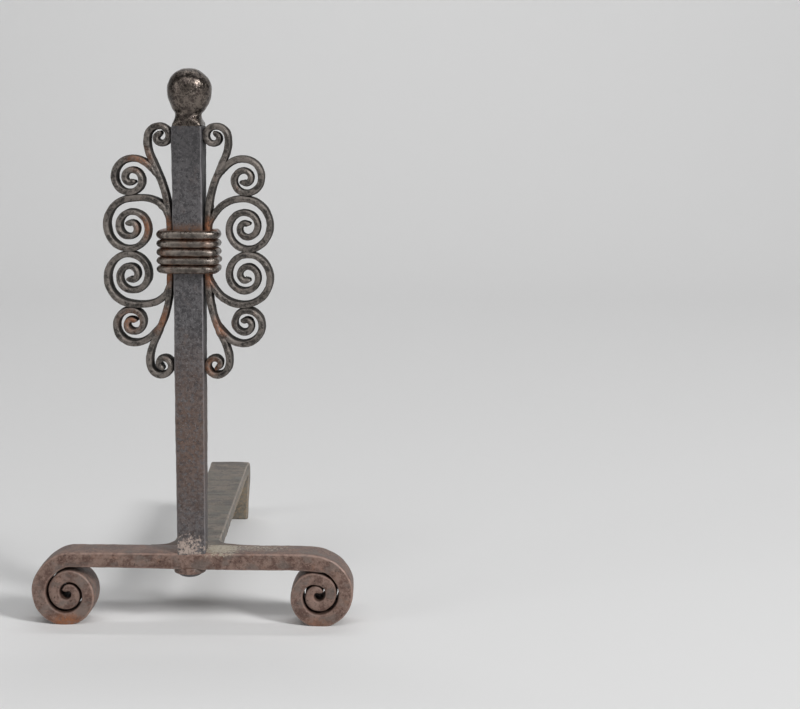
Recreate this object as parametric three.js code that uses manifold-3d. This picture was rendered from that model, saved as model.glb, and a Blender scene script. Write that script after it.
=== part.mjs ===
// A hand-forged wrought iron andiron: a square post with a ball finial stands on a
// front bar whose ends are rolled under into scroll feet, a log rest runs back from it
// to a rear leg, and a collar of five rings ties twelve scrolls to the post.
//
// Millimetres, +Z up. X runs across the front, the front faces -Y, and the origin is on
// the floor, at the middle of the whole piece.

import * as THREE from 'three';
import { mergeVertices } from 'three/addons/utils/BufferGeometryUtils.js';
import Module from 'manifold-3d';

const wasm = await Module();
wasm.setup();

// ---------- driving dimensions ----------

const seat = 0.3;                    // gap left where one piece is fitted to another

// Front bar and its rolled feet
const crossbarTop = 62.7;            // top of the front bar above the floor
const crossbarThickness = 13.1;      // half inch bar, thickened by the hammer
const crossbarDepth = 31.75;         // inch and a quarter front to back
const crossbarEdge = 1.6;            // hammered corner
const crossbarOffset = 1.3;          // how far its middle stands right of the post
const feetSpread = 273.4;            // across both rolls
const footSqueeze = 0.95;            // how much narrower than high the roll is
const footFall = 17.8;               // how much the roll closes in its first turn
const footEase = 1.76;               // and how that slows with the turns
const footShoulder = 1.6;            // how much the shoulder above each roll is flattened
const footTurns = 2.12;
const footTipThickness = 5.6;        // drawn-out end of the roll
const footWear = 1.3;                // ground flat where each roll stands

// Post
const postSide = 25;                 // inch bar, hammered
const postTop = 423.1;
const postEdge = 1.1;
const tenonRadius = 8;
const tenonOffset = -1.6;            // how far right of the post's middle the tenon stands
const washerRadius = 13.5;
const washerThickness = 3.2;
const washerEdge = 0.7;
const headRadius = 12.7;
const headHeight = 6.2;
const headDraft = 0.4;               // how much narrower the head's dome starts

// Ball finial: an egg with its blunt end up, on a waisted neck
const ballRadius = 18.1;
const ballHeight = 30.4;             // widest place above the post
const ballCrown = 17;                // from there up to the top
const ballTaper = 25;                // how far down the lower half would close
const ballLean = 0.9;                // how far the ball stands to the right
const neckRadius = 10.5;
const neckHeight = 8.4;              // narrowest place of the neck above the post
const creaseRadius = 11.6;           // where the ball begins above the neck
const finialBase = 12.3;             // half of the square foot on the post
const finialTenonRadius = 6;
const finialTenonLength = 14;

// Log rest and rear leg
const restLength = 408;              // from the front face to the back of the leg
const restWidth = 39.7;              // inch and a half bar, spread by the hammer
const restThickness = 12.7;
const restEdge = 1.5;
const restOffset = 0.8;              // how far right of the middle it starts
const restSwing = 6.5;               // how far left of that its rear end lies
const restBend = 3.3;                // inner radius of the bend into the rear leg
const bendUpset = 2;                 // extra iron on the outside of the bend
const bendWidth = 41.5;              // and how wide the bend has spread
const bendSpread = 22;               // length over which the bar widens to it
const legWidth = 36.5;               // the leg at the floor
const weldLeft = 16;                 // how far each weld fillet runs out sideways
const weldRight = 35;
const weldLength = 20;               // and how far back
const weldLip = 3.5;                 // length of the fillet's toe

// Collar
const ringCount = 5;
const ringHeight = 6.75;
const ringDepth = 8.2;
const collarDrop = 103.9;            // middle of the collar below the post's top
const ringCorner = 4.5;              // inner corner radius

// Scroll bars
const barThickness = 4.8;
const barTip = 3.4;                  // thickness at the drawn-out tips
const barWidth = 16;                 // front to back
const barTipWidth = 12.5;
const barEdge = 0.9;
const scarf = 1.3;                   // thickness of a branch where its weld begins

// Each roll closes by r = start - fall * turns + ease * turns^2, on the bar's centre
// line. Its centre is measured out from the stem's own line and up from the collar's
// middle; squeeze is how much narrower than high it is. The root is where the bar leaves
// the stem; rise and run are the reach of the curve at its root and at the roll.
const large = {
  out: 32.9, up: 20.2, start: 23.8, fall: 12.4, ease: 1.12, turns: 2.1, squeeze: 0.95,
  root: 18.5, rise: 9, run: 16,
};
const mid = {
  out: 32.1, up: 60.5, start: 16.5, fall: 11, ease: 1.44, turns: 1.6, squeeze: 0.985,
  root: 61, rise: 8, run: 11,
};
const small = { out: 7.2, up: 94.95, start: 10.9, fall: 8.2, ease: 0.8, turns: 1.25 };
const stemStraight = 20;             // how far the stem runs straight from the middle
const stemRise = 46;                 // reach of its curve at the straight end
const stemRun = 20;                  // and at the small scroll

// Resolution
const turnSteps = 19;                // stations in one turn of a scroll
const footSteps = 28;                // and of a foot
const leadSteps = 7;                 // stations in a curve between stem and scroll
const roundSteps = 24;               // sides of a round section

// ---------- what follows from them ----------

const postHalf = postSide / 2;
const stemLine = postHalf + seat + barThickness / 2;
const postMiddle = postHalf;         // the post's front is flush with the crossbar's
const ringInnerX = stemLine + barThickness / 2 + seat;
const ringInnerY = postHalf + seat;
const ringPitch = ringHeight + seat;
const collarHeight = postTop - collarDrop;
const frontMost = postMiddle - ringInnerY - ringDepth;
const underBar = crossbarTop - crossbarThickness;
const widePart = 2 * (crossbarDepth + restLength); // larger than anything it has to cut

// ---------- colours ----------

const darkIron = { color: 0x45403c, roughness: 0.62, metalness: 0.75 };
const postIron = { color: 0x413d3d, roughness: 0.55, metalness: 0.75 };
const brownIron = { color: 0x5f4b42, roughness: 0.7, metalness: 0.6 };
const greyIron = { color: 0x6f6b60, roughness: 0.72, metalness: 0.55 };

// ---------- solids ----------

// A closed body through a row of rings, each a list of the same number of points. The
// ends are capped, or joined to each other when the row closes on itself.
function loft(rings, closed = false) {
  const count = rings[0].length;
  const positions = [];
  const indices = [];
  for (const ring of rings) {
    for (const p of ring) positions.push(p.x, p.y, p.z);
  }
  const spans = closed ? rings.length : rings.length - 1;
  for (let i = 0; i < spans; i++) {
    const a = i * count;
    const b = ((i + 1) % rings.length) * count;
    for (let j = 0; j < count; j++) {
      const k = (j + 1) % count;
      indices.push(a + j, a + k, b + k, a + j, b + k, b + j);
    }
  }
  if (!closed) {
    const last = (rings.length - 1) * count;
    for (let j = 1; j < count - 1; j++) {
      indices.push(0, j + 1, j, last, last + j, last + j + 1);
    }
  }
  const geometry = new THREE.BufferGeometry();
  geometry.setAttribute('position', new THREE.Float32BufferAttribute(positions, 3));
  geometry.setIndex(indices);
  return outward(geometry);
}

// Turns the faces round if they point into the body.
function outward(geometry) {
  const p = geometry.attributes.position;
  const index = geometry.index.array;
  const a = new THREE.Vector3();
  const b = new THREE.Vector3();
  const c = new THREE.Vector3();
  let volume = 0;
  for (let i = 0; i < index.length; i += 3) {
    a.fromBufferAttribute(p, index[i]);
    b.fromBufferAttribute(p, index[i + 1]);
    c.fromBufferAttribute(p, index[i + 2]);
    volume += a.dot(b.cross(c));
  }
  if (volume < 0) {
    for (let i = 0; i < index.length; i += 3) {
      [index[i], index[i + 1]] = [index[i + 1], index[i]];
    }
  }
  return geometry;
}

function solid(geometry) {
  const bare = geometry.clone();
  for (const name of ['normal', 'uv']) {
    if (bare.attributes[name]) bare.deleteAttribute(name);
  }
  const merged = mergeVertices(bare, 1e-4);
  return new wasm.Manifold(new wasm.Mesh({
    numProp: 3,
    vertProperties: new Float32Array(merged.attributes.position.array),
    triVerts: new Uint32Array(merged.index.array),
  }));
}

function geometryOf(manifold) {
  const mesh = manifold.getMesh();
  const geometry = new THREE.BufferGeometry();
  geometry.setAttribute('position', new THREE.Float32BufferAttribute(mesh.vertProperties, 3));
  geometry.setIndex(Array.from(mesh.triVerts));
  return geometry;
}

function cylinder(radius, low, high) {
  const geometry = new THREE.CylinderGeometry(radius, radius, high - low, roundSteps);
  geometry.rotateX(Math.PI / 2);
  geometry.translate(0, 0, (low + high) / 2);
  return geometry;
}

// A body turned about the Z axis; the profile's points are [radius, height].
function turned(profile) {
  const points = profile.map(([r, z]) => new THREE.Vector2(r, z));
  const geometry = new THREE.LatheGeometry(points, roundSteps);
  geometry.rotateX(Math.PI / 2);
  return geometry;
}

// ---------- bent bars ----------

// A rectangle with its corners taken off, as [along the thickness, along the width].
function barSection(thickness, width, edge) {
  const t = thickness / 2;
  const w = width / 2;
  const e = edge;
  return [
    [t - e, -w], [t, -w + e], [t, w - e], [t - e, w],
    [-t + e, w], [-t, w - e], [-t, -w + e], [-t + e, -w],
  ];
}

// Sweeps a bar along a line in the XZ plane. line holds {x, z, thickness, width}.
function bentBar(line, edge) {
  const rings = line.map((here, i) => {
    const before = line[Math.max(i - 1, 0)];
    const after = line[Math.min(i + 1, line.length - 1)];
    const along = new THREE.Vector2(after.x - before.x, after.z - before.z).normalize();
    return barSection(here.thickness, here.width, edge).map(([n, w]) => new THREE.Vector3(
      here.x - along.y * n,
      w,
      here.z + along.x * n,
    ));
  });
  return loft(rings);
}

// The centre line of a roll. side is 1 where it turns anticlockwise as seen from the
// front, -1 where it turns clockwise; angle is where it starts.
function roll({ out, up, start, fall, ease, turns, squeeze = 1 }, angle, side) {
  const steps = Math.ceil(turns * turnSteps);
  const points = [];
  for (let i = 0; i <= steps; i++) {
    const turn = turns * i / steps;
    const radius = start - fall * turn + ease * turn * turn;
    const at = angle + side * 2 * Math.PI * turn;
    points.push(new THREE.Vector2(
      out + squeeze * radius * Math.cos(at),
      up + radius * Math.sin(at),
    ));
  }
  return points;
}

// The direction in which a roll sets off, for a curve that has to meet it.
function heading(points) {
  return points[1].clone().sub(points[0]).normalize();
}

function leadIn(from, along, rise, to, arriving, run) {
  const curve = new THREE.CubicBezierCurve(
    from,
    from.clone().addScaledVector(along, rise),
    to.clone().addScaledVector(arriving, -run),
    to,
  );
  return curve.getPoints(leadSteps).slice(0, -1);
}

// Gives a line of points the bar's section, drawn out thinner towards its tip.
function drawnOut(points, taperFrom) {
  return points.map((p, i) => {
    const t = Math.max(0, (i - taperFrom) / (points.length - 1 - taperFrom));
    return {
      x: p.x,
      z: p.y,
      thickness: THREE.MathUtils.lerp(barThickness, barTip, t),
      width: THREE.MathUtils.lerp(barWidth, barTipWidth, t * t),
    };
  });
}

// ---------- scrolls ----------

// The upper half of a stem, from the collar's middle to its small scroll.
function stemHalf() {
  const end = roll({ ...small, out: stemLine + small.out }, 0, 1);
  const from = new THREE.Vector2(stemLine, stemStraight);
  const up = new THREE.Vector2(0, 1);
  const lead = leadIn(from, up, stemRise, end[0], heading(end), stemRun);
  return { lead, end };
}

function stemLineUpper() {
  const { lead, end } = stemHalf();
  return drawnOut([...lead, ...end], lead.length);
}

// The whole right-hand stem: its lower half mirrors the upper one.
function stemGeometry(grow = 0) {
  const upper = stemLineUpper();
  const lower = upper.map((p) => ({ ...p, z: -p.z })).reverse();
  const line = [...lower, ...upper].map((p) => ({
    ...p,
    thickness: p.thickness + 2 * grow,
    width: grow > 0 ? widePart : p.width,
  }));
  return bentBar(line, barEdge);
}

// The stem's place and direction at a height above the collar's middle.
function stemAt(height) {
  const { lead, end } = stemHalf();
  const points = [new THREE.Vector2(stemLine, 0), ...lead, ...end];
  let i = 1;
  while (points[i].y < height && i < points.length - 1) i++;
  const [a, b] = [points[i - 1], points[i]];
  const t = (height - a.y) / (b.y - a.y);
  return { point: a.clone().lerp(b, t), along: b.clone().sub(a).normalize() };
}

// A scroll of the upper right quarter. Its root lies along the outer side of the stem,
// and its weld scarf is cut to the stem's face.
function scrollGeometry(form) {
  const body = roll({ ...form, out: stemLine + form.out }, Math.PI / 2, -1);
  const { point, along } = stemAt(form.root);
  const outwards = new THREE.Vector2(along.y, -along.x);
  const from = point.clone().addScaledVector(outwards, seat + scarf);
  const lead = leadIn(from, along, form.rise, body[0], heading(body), form.run);
  const bar = bentBar(drawnOut([...lead, ...body], lead.length), barEdge);
  return geometryOf(solid(bar).subtract(solid(stemGeometry(seat))));
}

// ---------- front bar and feet ----------

// The right half of the bar's line, from the top of the roll to its drawn-out end.
function footLine() {
  // The roll sets off where its own line is level, a little before its top.
  const early = Math.atan(footFall / (2 * Math.PI) / footStart());
  const steps = Math.ceil(footTurns * footSteps);
  const line = [];
  for (let i = 0; i <= steps; i++) {
    const turn = footTurns * i / steps;
    const thickness = THREE.MathUtils.lerp(crossbarThickness, footTipThickness, i / steps);
    const radius = footRadius(turn) - thickness / 2;
    const at = Math.PI / 2 + early - 2 * Math.PI * turn;
    line.push({
      x: footCentre() + footSqueeze * radius * Math.cos(at),
      z: footCentreHeight() + radius * Math.sin(at),
      thickness,
      width: crossbarDepth,
    });
  }
  // Its first point is that of the straight bar between the feet.
  const lift = crossbarTop - crossbarThickness / 2 - line[0].z;
  for (const p of line) p.z += lift;
  return line;
}

function crossbarGeometry() {
  const right = footLine();
  const left = right.map((p) => ({ ...p, x: -p.x })).reverse();
  const bar = solid(bentBar([...left, ...right], crossbarEdge));
  const floor = new THREE.BoxGeometry(widePart, widePart, widePart);
  floor.translate(0, 0, -widePart / 2);
  const hole = cylinder(tenonRadius + seat, 0, 2 * crossbarTop);
  hole.translate(tenonOffset - crossbarOffset, postMiddle - crossbarDepth / 2, 0);
  return geometryOf(bar.subtract(solid(floor)).subtract(solid(hole)));
}

function footRadius(turn) {
  const shoulder = turn < 0.25 ? footShoulder * Math.sin(4 * Math.PI * turn) ** 2 : 0;
  return footStart() - footFall * turn + footEase * turn * turn - shoulder;
}

// The outer radius at the start, such that the roll's lowest place, half a turn on,
// reaches below the floor by what wear has taken off.
function footStart() {
  const half = 0.5;
  const closing = footFall * half - footEase * half * half;
  return (crossbarTop + footWear + closing) / 2;
}

// Each roll is widest a quarter turn on.
function footCentre() {
  return feetSpread / 2 - footSqueeze * footRadius(0.25);
}

function footCentreHeight() {
  return crossbarTop - footStart();
}

// ---------- post ----------

function postGeometry() {
  const square = (z) => barSection(postSide, postSide, postEdge)
    .map(([x, y]) => new THREE.Vector3(x, y, z));
  const bar = loft([square(crossbarTop), square(postTop)]);
  const rivet = turned([
    ...headProfile(),
    [tenonRadius, underBar - washerThickness],
    [tenonRadius, crossbarTop + postEdge],
    [0, crossbarTop + postEdge],
  ]);
  rivet.translate(tenonOffset, 0, 0);
  const socketFloor = postTop - finialTenonLength - seat;
  const socket = cylinder(finialTenonRadius + seat, socketFloor, postTop + postEdge);
  return geometryOf(solid(bar).add(solid(rivet)).subtract(solid(socket)));
}

// The dome of the tenon's head, from its lowest point out and up to the washer.
function headProfile() {
  const high = underBar - washerThickness;
  const low = high - headHeight;
  const dome = new THREE.CubicBezierCurve(
    new THREE.Vector2(0, low),
    new THREE.Vector2(0.6 * headRadius, low),
    new THREE.Vector2(headRadius - headDraft, low + 0.4 * headHeight),
    new THREE.Vector2(headRadius, high - headDraft),
  );
  return [...dome.getPoints(6).map((p) => [p.x, p.y]), [headRadius - headDraft, high]];
}

function washerGeometry() {
  const low = underBar - washerThickness;
  const inner = tenonRadius + seat;
  return turned([
    [inner, low], [washerRadius - washerEdge, low], [washerRadius, low + washerEdge],
    [washerRadius, underBar - washerEdge], [washerRadius - washerEdge, underBar],
    [inner, underBar], [inner, low],
  ]);
}

// ---------- finial ----------

// A ring of a rounded square: power 2 is a circle, and a high power nearly a square.
function roundedSquare(half, power, z, x = 0) {
  const ring = [];
  for (let i = 0; i < roundSteps; i++) {
    const a = 2 * Math.PI * i / roundSteps;
    const c = Math.cos(a);
    const s = Math.sin(a);
    const r = half / (Math.abs(c) ** power + Math.abs(s) ** power) ** (1 / power);
    ring.push(new THREE.Vector3(x + r * c, r * s, z));
  }
  return ring;
}

function finialGeometry() {
  const flare = (t) => THREE.MathUtils.lerp(finialBase, neckRadius, t);
  const rings = [
    roundedSquare(finialTenonRadius, 2, -finialTenonLength),
    roundedSquare(finialTenonRadius, 2, 0),
    roundedSquare(finialBase, 9, 0),
    roundedSquare(finialBase, 8, 0.2 * neckHeight),
    roundedSquare(flare(0.35), 4.5, 0.45 * neckHeight, 0.4 * ballLean),
    roundedSquare(flare(0.85), 2.6, 0.75 * neckHeight, 0.8 * ballLean),
    roundedSquare(neckRadius, 2.1, neckHeight, ballLean),
  ];
  // The ball's own rings run from the crease, where it meets the neck, to its top.
  const ballRings = 13;
  const lowest = -Math.acos(creaseRadius / ballRadius);
  for (let i = 0; i < ballRings; i++) {
    const a = THREE.MathUtils.lerp(lowest, Math.PI / 2, i / (ballRings - 0.4));
    const z = ballHeight + (a > 0 ? ballCrown : ballTaper) * Math.sin(a);
    rings.push(roundedSquare(ballRadius * Math.cos(a), 2, z, ballLean));
  }
  return loft(rings);
}

// ---------- log rest ----------

// One ring of the bar. It is given by the place of its line, how far that line has bent
// down towards the floor, its width, and what the weld or the bend has added to it.
function restRing({ y, z, bent = 0, width, left = 0, right = 0, upset = 0 }) {
  const swing = restSwing * Math.max(0, y - crossbarDepth) / (restLength - crossbarDepth);
  const middle = restOffset - swing;
  const low = middle - width / 2 - left;
  const high = middle + width / 2 + right;
  const top = restThickness / 2 + upset;
  const under = -restThickness / 2;
  const e = restEdge;
  return [
    [low + e, under], [high - e, under], [high, under + e], [high, top - e],
    [high - e, top], [low + e, top], [low, top - e], [low, under + e],
  ].map(([x, n]) => new THREE.Vector3(x, y + n * Math.sin(bent), z + n * Math.cos(bent)));
}

function restGeometry() {
  const half = restThickness / 2;
  const level = crossbarTop - half;
  const rear = restLength - half;
  const bendRadius = restBend + half;
  const bendStart = rear - bendRadius;
  const quarter = (i, steps) => Math.PI / 2 * i / steps;
  const rings = [
    restRing({ y: crossbarDepth, z: level, width: restWidth, left: weldLeft, right: weldRight }),
  ];
  // The weld's fillets fall away along a quarter ellipse.
  const filletSteps = 6;
  for (let i = 0; i <= filletSteps; i++) {
    const a = quarter(i, filletSteps);
    rings.push(restRing({
      y: crossbarDepth + weldLip + weldLength * (1 - Math.cos(a)),
      z: level,
      width: restWidth,
      left: weldLeft * (1 - Math.sin(a)),
      right: weldRight * (1 - Math.sin(a)),
    }));
  }
  rings.push(restRing({ y: bendStart - bendSpread, z: level, width: restWidth }));
  const bendSteps = 6;
  for (let i = 0; i <= bendSteps; i++) {
    const a = quarter(i, bendSteps);
    rings.push(restRing({
      y: bendStart + bendRadius * Math.sin(a),
      z: level - bendRadius * (1 - Math.cos(a)),
      bent: a,
      width: bendWidth,
      upset: bendUpset * Math.sin(2 * a) ** 2,
    }));
  }
  rings.push(restRing({ y: rear, z: 0, bent: Math.PI / 2, width: legWidth }));
  return loft(rings);
}

// ---------- collar ----------

// One ring of round bar, bent close round the post and the two stems.
function ringGeometry() {
  const corner = ringCorner + ringDepth / 2;
  const x = ringInnerX + ringDepth / 2 - corner;
  const y = ringInnerY + ringDepth / 2 - corner;
  const cornerSteps = 5;
  const sectionSteps = 10;
  const rings = [];
  const corners = [[x, y, 0], [-x, y, 1], [-x, -y, 2], [x, -y, 3]];
  for (const [cx, cy, quarter] of corners) {
    for (let i = 0; i <= cornerSteps; i++) {
      const a = Math.PI / 2 * (quarter + i / cornerSteps);
      const away = new THREE.Vector2(Math.cos(a), Math.sin(a));
      const ring = [];
      for (let j = 0; j < sectionSteps; j++) {
        const b = 2 * Math.PI * (j + 0.5) / sectionSteps;
        const d = corner + ringDepth / 2 * Math.cos(b) / Math.cos(Math.PI / sectionSteps);
        ring.push(new THREE.Vector3(cx + away.x * d, cy + away.y * d, ringHeight / 2 * Math.sin(b)));
      }
      rings.push(ring);
    }
  }
  return loft(rings, true);
}

// ---------- the andiron ----------

const andiron = new THREE.Group();
const atFront = new THREE.Group();
atFront.position.set(-crossbarOffset, -(frontMost + restLength) / 2, 0);
andiron.add(atFront);

function place(name, geometry, iron, parent = atFront) {
  const mesh = new THREE.Mesh(geometry, new THREE.MeshStandardMaterial(iron));
  mesh.name = name;
  parent.add(mesh);
  return mesh;
}

place('crossbar', crossbarGeometry(), brownIron).position.set(
  crossbarOffset,
  crossbarDepth / 2,
  0,
);
place('billet_bar', restGeometry(), greyIron);

const onPost = new THREE.Group();
onPost.position.y = postMiddle;
atFront.add(onPost);
place('post', postGeometry(), postIron, onPost);
place('tenon_washer', washerGeometry(), brownIron, onPost).position.x = tenonOffset;
place('ball_finial', finialGeometry(), darkIron, onPost).position.z = postTop;

const scrollwork = new THREE.Group();
scrollwork.position.z = collarHeight;
onPost.add(scrollwork);
const ringShape = ringGeometry();
for (let i = 0; i < ringCount; i++) {
  const ring = place(`collar_ring_${i + 1}`, ringShape, darkIron, scrollwork);
  ring.position.z = ringPitch * ((ringCount - 1) / 2 - i);
}

// The four quarters are one shape, turned half round about each axis.
const quarters = {
  upper_right: [0, 0, 0],
  lower_right: [Math.PI, 0, 0],
  upper_left: [0, 0, Math.PI],
  lower_left: [0, Math.PI, 0],
};
const stem = stemGeometry();
place('stem_right', stem, darkIron, scrollwork);
place('stem_left', stem, darkIron, scrollwork).rotation.z = Math.PI;
for (const [size, form] of Object.entries({ large, mid })) {
  const scroll = scrollGeometry(form);
  for (const [quarter, turn] of Object.entries(quarters)) {
    place(`scroll_${size}_${quarter}`, scroll, darkIron, scrollwork).rotation.set(...turn);
  }
}

export default andiron;
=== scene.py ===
"""A hand-forged wrought iron andiron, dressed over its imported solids.

Every piece is a finer mesh in the place of its solid: bars with worn, hammered corners,
rolled feet, scarf-welded scrolls, a collar of round rings and a pitted ball finial. Metres,
+Z up, X across the front, the front towards -Y.
"""

import math

import bpy
import numpy as np
from mathutils import Matrix, Vector, noise


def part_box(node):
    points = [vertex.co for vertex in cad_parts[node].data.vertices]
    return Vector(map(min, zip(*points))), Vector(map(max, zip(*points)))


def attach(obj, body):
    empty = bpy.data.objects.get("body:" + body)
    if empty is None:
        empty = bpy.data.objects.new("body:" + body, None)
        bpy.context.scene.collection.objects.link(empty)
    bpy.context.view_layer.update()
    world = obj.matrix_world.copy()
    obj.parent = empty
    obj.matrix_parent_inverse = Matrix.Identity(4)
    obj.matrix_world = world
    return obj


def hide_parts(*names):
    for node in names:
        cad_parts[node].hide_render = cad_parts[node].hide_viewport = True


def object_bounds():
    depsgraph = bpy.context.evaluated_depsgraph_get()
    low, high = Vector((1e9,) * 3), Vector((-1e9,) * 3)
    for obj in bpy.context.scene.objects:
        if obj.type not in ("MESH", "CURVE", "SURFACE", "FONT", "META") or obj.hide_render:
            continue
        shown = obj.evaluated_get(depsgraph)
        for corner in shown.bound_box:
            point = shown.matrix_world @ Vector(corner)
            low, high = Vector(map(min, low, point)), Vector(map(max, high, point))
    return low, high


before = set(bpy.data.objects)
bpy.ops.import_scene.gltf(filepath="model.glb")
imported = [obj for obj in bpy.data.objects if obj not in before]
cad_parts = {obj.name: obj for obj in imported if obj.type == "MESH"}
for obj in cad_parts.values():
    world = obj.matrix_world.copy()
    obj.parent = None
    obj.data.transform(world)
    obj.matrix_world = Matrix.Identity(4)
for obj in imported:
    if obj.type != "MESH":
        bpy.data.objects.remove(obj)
cad_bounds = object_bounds()

MM = 0.001

# ---------- places, taken from the frame ----------

BAR_LOW, BAR_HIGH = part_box("crossbar")
STEM_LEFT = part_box("stem_left")
STEM_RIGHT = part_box("stem_right")
POST_LOW, POST_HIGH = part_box("post")
POST_TOP = POST_HIGH.z
POST_X = (STEM_LEFT[0].x + STEM_RIGHT[1].x) / 2
POST_Y = (STEM_LEFT[0].y + STEM_LEFT[1].y) / 2
COLLAR_Z = (STEM_LEFT[0].z + STEM_LEFT[1].z) / 2
FRONT = BAR_LOW.y
BAR_REAR = BAR_HIGH.y
BAR_TOP = BAR_HIGH.z
REST_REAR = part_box("billet_bar")[1].y
RING_LOW, RING_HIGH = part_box("collar_ring_1")
WASHER_LOW, WASHER_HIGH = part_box("tenon_washer")

# ---------- sizes ----------

# the front bar and its rolled feet; turns count full circles of the roll
CROSSBAR_STEP = 1.6 * MM
CROSSBAR_CROWN = 0.15 * MM
BAR_LIFT = 0.4 * MM
BAR_SAG = 1.2 * MM
BAR_SAG_X = 109 * MM  # where it starts to bend into the right foot
BAR_SAG_REACH = 9 * MM
BAR_UPSET = 1.6 * MM  # the bar is thicker towards the right foot
BAR_UPSET_FROM = -80 * MM
BAR_UPSET_TO = 40 * MM
FOOT_THICKNESS = 13.1 * MM
FOOT_TIP = 5.8 * MM
FOOT_TIGHTER = 0.5 * MM  # how far the inner turn lies out against the outer one
FOOT_FULLER = 0.9 * MM
FOOT_INNER = (0.75, 1.05)  # turns between which the inner turn begins
FOOT_THIN = 1.6  # the turn from which its end is drawn thin
FOOT_NARROWER = ((2.5 * MM, 0.8, 1.1), (2 * MM, 1.5, 2))  # how much, from turn, to turn
FOOT_EDGE = 2.1 * MM
FOOT_FALL = 17.8 * MM
FOOT_EASE = 1.76 * MM
FOOT_SHOULDER = 0.8 * MM
FOOT_SQUEEZE = 0.95
FOOT_WIDEST = 0.245  # the turn at which the roll reaches furthest out
FOOT_TURNS = 2.2
FOOT_WEAR = 1.3 * MM
FOOT_SHADE = (18 * MM, 22 * MM)  # how far from its eye the painted shade inside the roll fades out

POST_SIDE = 25 * MM
POST_EDGE = 1.5 * MM
POST_SHIFT = 0.6 * MM  # it stands a little to the right between the stems
POST_TWIST = ((62.7, -2.2), (180, 0), (319.2, 1.2), (423.1, 4.2))  # mm up, degrees
POST_TAPER = ((62.7, 24.1), (180, 24.8), (319.2, 25), (423.1, 25.2))  # mm up, mm across
POST_STATIONS = 180
POST_TOP_WORN = 0.3 * MM
# painted shade on the post's side faces, deeper from above the collar towards the top
POST_SHADE_SIDES = 0.5
POST_SHADE_TOP = 0.6
POST_SHADE_FROM = COLLAR_Z + 30 * MM
WASHER_THICKER = 1.8 * MM
WASHER_EDGE = 0.5 * MM
WASHER_INNER = 5 * MM  # a row of points inside its flat sides
HEAD_RADIUS = 10.8 * MM
HEAD_HEIGHT = WASHER_LOW.z - POST_LOW.z
HEAD_INNER = 6 * MM  # where its upper side is hidden in the washer

BALL_RADIUS = 18.5 * MM
BALL_HEIGHT = 30.4 * MM
BALL_CROWN = 16.9 * MM
BALL_TAPER = 25 * MM
BALL_LEAN = 0.9 * MM
NECK_RADIUS = 11 * MM
NECK_HEIGHT = 8.4 * MM
CREASE_RADIUS = 12 * MM
FINIAL_BASE = 12.35 * MM
FINIAL_STATIONS = 90

REST_WIDTH = 39.7 * MM
REST_THICKNESS = 12.7 * MM
REST_EDGE = 2 * MM
REST_CROWN = 0.1 * MM
REST_OFFSET = 0.8 * MM
REST_SWING = 6.5 * MM
REST_BEND = 3.3 * MM
REST_STATIONS = 170
LEG_STATIONS = 26
BEND_UPSET = 2 * MM
BEND_WIDTH = 41.5 * MM
BEND_SPREAD = 22 * MM
LEG_WIDTH = 36.5 * MM
WELD_LEFT = 20 * MM
WELD_RIGHT = 37 * MM
WELD_LENGTH = 20 * MM
WELD_LIP = 0.5 * MM

RING_COUNT = 5
RING_CORNER = 4.5 * MM
RING_GAP = 0.3 * MM  # between the post and a ring
RING_STEP = 1.3 * MM
RING_CORNER_STEPS = 12
RING_SIDES = 20
FIRST_RING_TALLER = 0.4 * MM
FIRST_RING_HIGHER = 0.5 * MM

# the flat bars of the stems and the scrolls
BAR_THICKNESS = 4.95 * MM
BAR_TIP = 4.3 * MM
BAR_WIDTH = 19 * MM
BAR_TIP_WIDTH = 17 * MM
BAR_EDGE = 1.1 * MM
BAR_CROWN = 0.5 * MM
BAR_STEP = 1.1 * MM  # between the stations of a bar
KNOB = 1.5 * MM  # the upset end of a roll
KNOB_FROM = 0.93
KNOB_LENGTH = 0.07
STEM_LINE = 15.2 * MM  # from the post's middle to the middle of a stem
STEM_STRAIGHT = 18 * MM
STEM_RISE = 46 * MM
STEM_RUN = 20 * MM
ROOT_THIN = 0.3  # how thin a scarfed root begins
ROOT_GROWS = 0.45  # the share of its way to the roll in which it gets its full thickness
ROOT_OUT = 0.5 * MM  # how far a root lies out from the stem's line
RIGHT_BOW = 1.1 * MM  # how far the right stem stands off the post
BOW_ENDS = (22 * MM, 62 * MM)  # the heights from the collar's middle between which it fades
BOW_REACH = (3 * MM, 12 * MM)  # and the same across, from the stem's line

# a roll in mm: its eye out from the stem and up from the collar, and how its radius closes
LARGE = dict(out=32.9, up=20.2, start=23.8, fall=12.4, ease=1.12, turns=2.15, squeeze=0.95)
MID = dict(out=32.1, up=60.5, start=16.5, fall=11, ease=1.44, turns=1.68, squeeze=0.985)
SMALL = dict(out=7.2, up=94.95, start=10.9, fall=8.2, ease=0.8, turns=1.3, squeeze=1)
# where each arm leaves its stem, and how full its bow is
ARMS = {
    ("large", "left"): dict(root=18.5, rise=17, run=26),
    ("large", "right"): dict(root=17, rise=12, run=18),
    ("mid", "left"): dict(root=54, rise=12, run=12),
    ("mid", "right"): dict(root=54, rise=13, run=12),
}

# ---------- hammer marks and pits: how deep and how wide ----------

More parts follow.
